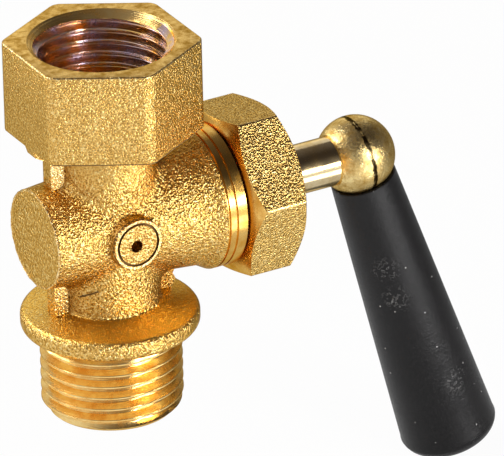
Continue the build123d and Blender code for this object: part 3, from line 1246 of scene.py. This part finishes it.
@dataclass
class PlainNodes:
    """CAD nodes whose shape is right as it is, with the finish of each."""

    def dress(self) -> None:
        """Gives each node a material of its own make."""
        stem = TurnedBrass(
            "brass_turned_stem",
            TurnAxis.PLUG,
            light="#F3E0B6",
            deep="#E0C590",
            roughness=(0.08, 0.2),
            relief=0.25,
        ).material()
        ball = TumbledBrass().material()
        brass = TurnedBrass("brass_turned_gland", TurnAxis.PLUG).material()
        ptfe = PlainStock("ptfe_packing_moulded", "#F1F0EC", "#DDDBD4", 0.0, roughness=(0.45, 0.6))
        packing = ptfe.material()
        steel = PlainStock("steel_rod_drawn", "#B9BABC", "#8F9092", 1.0).material()
        finishes = {
            "plug_stem": stem,
            "lever_ball": ball,
            "thrust_washer": brass,
            "gland_follower": brass,
            "packing_ring_1": packing,
            "packing_ring_2": packing,
            "packing_ring_3": packing,
            "lever_rod": steel,
        }
        for node, material in finishes.items():
            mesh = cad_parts[node].data
            mesh.materials.clear()
            mesh.materials.append(material)
            LOG.info("%s: %s", node, material.name)


@dataclass
class Softbox:
    """A lamp on a stand, aimed at the object. Angles in degrees, lengths in metres."""

    name: str
    azimuth: float
    elevation: float
    distance: float
    width: float
    height: float
    power: float
    colour: str = "#FFFFFF"

    def build(self, aim: Vector) -> None:
        """Sets the lamp up.

        Args:
            aim: The point that the lamp faces.
        """
        az, el = radians(self.azimuth), radians(self.elevation)
        away = Vector((sin(az) * cos(el), -cos(az) * cos(el), sin(el)))
        lamp = bpy.data.lights.new(self.name, "AREA")
        lamp.shape = "RECTANGLE"
        lamp.size = self.width
        lamp.size_y = self.height
        lamp.energy = self.power
        lamp.color = linear(self.colour)[:3]
        stand = bpy.data.objects.new(self.name, lamp)
        stand.location = aim + away * self.distance
        stand.rotation_euler = away.to_track_quat("Z", "Y").to_euler()
        stand.visible_camera = False
        bpy.context.scene.collection.objects.link(stand)


@dataclass
class Studio:
    """White floor, soft light and the camera at the photograph's angle."""

    aim: tuple[float, float, float] = (20.629, -6.066, 12.655)
    azimuth: float = -28.778
    elevation: float = 26.374
    roll: float = -1.356
    distance: float = 1350.85
    lens: float = 661.12
    floor_colour: str = "#FBFAF8"
    floor_size: float = 8.0
    key_azimuth: float = 27.0
    floor_azimuth: float = -51.0
    # Painted light on the floor as metal sees it: its level from behind the object to in front of it, and
    # where it changes
    painted_floor_light: tuple[float, float] = (0.28, 0.94)
    painted_floor_reach: tuple[float, float] = (-0.12, 0.05)
    white_share: float = 0.96
    sky_left: str = "#F0EEEA"
    sky_right: str = "#706B68"
    sky_high_left: str = "#938B86"
    sky_high_right: str = "#3B3532"
    sky_bright_azimuth: float = -130.0
    sky_strength: float = 0.9

    def build(self) -> None:
        """Builds the floor, the lamps, the sky and the camera."""
        self.floor()
        self.sky()
        # Name, azimuth, elevation, distance, width, height and power
        for lamp in (
            Softbox("low_key", self.key_azimuth, 5.0, 0.6, 0.32, 0.12, 2.0),
            Softbox("thread_strip", 11.0, 23.0, 0.6, 0.06, 0.16, 0.55),
            Softbox("floor_card", 30.0, -27.0, 0.098, 0.06, 0.035, 0.019),
            Softbox("left_bank", -120.0, 40.0, 1.0, 0.55, 0.55, 4.6),
            Softbox("back_panel", 152.0, 28.0, 1.2, 0.8, 0.8, 1.0),
            Softbox("left_rim", -148.0, 22.0, 1.0, 0.3, 0.3, 1.6),
        ):
            lamp.build(Vector((0.012, 0.0, 0.018)))
        self.camera()

    def floor(self) -> None:
        """Lays the floor just under the object; what looks at it sees white with the object's shadow, and
        metal sees a painted gradient of light on it.
        """
        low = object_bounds()[0]
        bm = bmesh.new()
        bmesh.ops.create_grid(bm, x_segments=1, y_segments=1, size=self.floor_size / 2)
        bmesh.ops.translate(bm, verts=bm.verts[:], vec=(0, 0, low[2] - 0.05 * MM))
        mesh = bpy.data.meshes.new("studio_floor")
        bm.to_mesh(mesh)
        bm.free()
        floor = bpy.data.objects.new("studio_floor", mesh)
        bpy.context.scene.collection.objects.link(floor)
        material, tree, card = shader("card_white_matt")
        card.inputs["Base Color"].default_value = linear(self.floor_colour)
        card.inputs["Roughness"].default_value = 0.9
        path = add(tree, "ShaderNodeLightPath")
        camera_ray = path.outputs["Is Camera Ray"]
        # Painted light: the floor that metal sees glows brighter towards the front
        az = radians(self.floor_azimuth)
        reach = vectors(tree, "DOT_PRODUCT", place_on(tree), Vector((sin(az), -cos(az), 0)))
        painted_floor_light = remap(tree, reach, self.painted_floor_reach, self.painted_floor_light)
        level = maths(tree, "MAXIMUM", camera_ray, painted_floor_light)
        share = maths(tree, "MULTIPLY_ADD", camera_ray, self.white_share, path.outputs["Is Glossy Ray"])
        white = add(tree, "ShaderNodeEmission", Color=(1, 1, 1, 1), Strength=level)
        mix = add(
            tree, "ShaderNodeMixShader", Fac=share, in1=card.outputs["BSDF"], in2=white.outputs["Emission"]
        )
        tree.links.new(mix.outputs[0], tree.nodes["Material Output"].inputs["Surface"])
        mesh.materials.append(material)
        floor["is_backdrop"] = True

    def sky(self) -> None:
        """Makes the room: pale low on the left and darker to the right and overhead."""
        world = bpy.data.worlds.new("studio_room")
        bpy.context.scene.world = world
        world.use_nodes = True
        tree = world.node_tree
        tree.nodes.clear()
        place = add(tree, "ShaderNodeTexCoord").outputs["Generated"]
        height = add(tree, "ShaderNodeSeparateXYZ", Vector=place)
        rise = add(
            tree,
            "ShaderNodeMapRange",
            {"interpolation_type": "SMOOTHSTEP"},
            Value=height.outputs["Z"],
            From_Min=0.3,
            From_Max=0.75,
        )
        az = radians(self.sky_bright_azimuth)
        turn = remap(tree, vectors(tree, "DOT_PRODUCT", place, (sin(az), -cos(az), 0)), (-0.5, 0.6))
        low = blend(tree, turn, self.sky_right, self.sky_left)
        high = blend(tree, turn, self.sky_high_right, self.sky_high_left)
        tone = blend(tree, rise.outputs["Result"], low, high)
        room = add(tree, "ShaderNodeBackground", Color=tone, Strength=self.sky_strength)
        add(tree, "ShaderNodeOutputWorld", Surface=room.outputs["Background"])

    def camera(self) -> None:
        """Sets the camera up and makes it the scene's own."""
        az, el, roll = (radians(a) for a in (self.azimuth, self.elevation, self.roll))
        back = Vector((sin(az) * cos(el), -cos(az) * cos(el), sin(el)))
        level = Vector((cos(az), sin(az), 0))
        above = back.cross(level)
        right = level * cos(roll) + above * sin(roll)
        up = above * cos(roll) - level * sin(roll)
        lens = bpy.data.cameras.new("product_camera")
        lens.lens = self.lens
        lens.sensor_width = 36.0
        lens.sensor_fit = "HORIZONTAL"
        stand = bpy.data.objects.new("product_camera", lens)
        turn = Matrix((right, up, back)).transposed().to_4x4()
        stand.matrix_world = Matrix.Translation((Vector(self.aim) + back * self.distance) * MM) @ turn
        bpy.context.scene.collection.objects.link(stand)
        bpy.context.scene.camera = stand


def main() -> None:
    """Builds and dresses the pieces, then the studio."""
    noise.seed_set(NOISE_SEED)
    logging.basicConfig(level=logging.INFO, format="%(message)s")
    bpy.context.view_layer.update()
    for part in (ValveBody(), GlandNut(), Grip()):
        part.dress(part.build())
    PlainNodes().dress()
    bpy.context.scene.view_settings.view_transform = "Standard"
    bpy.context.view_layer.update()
    Studio().build()


if __name__ == "__main__":
    main()
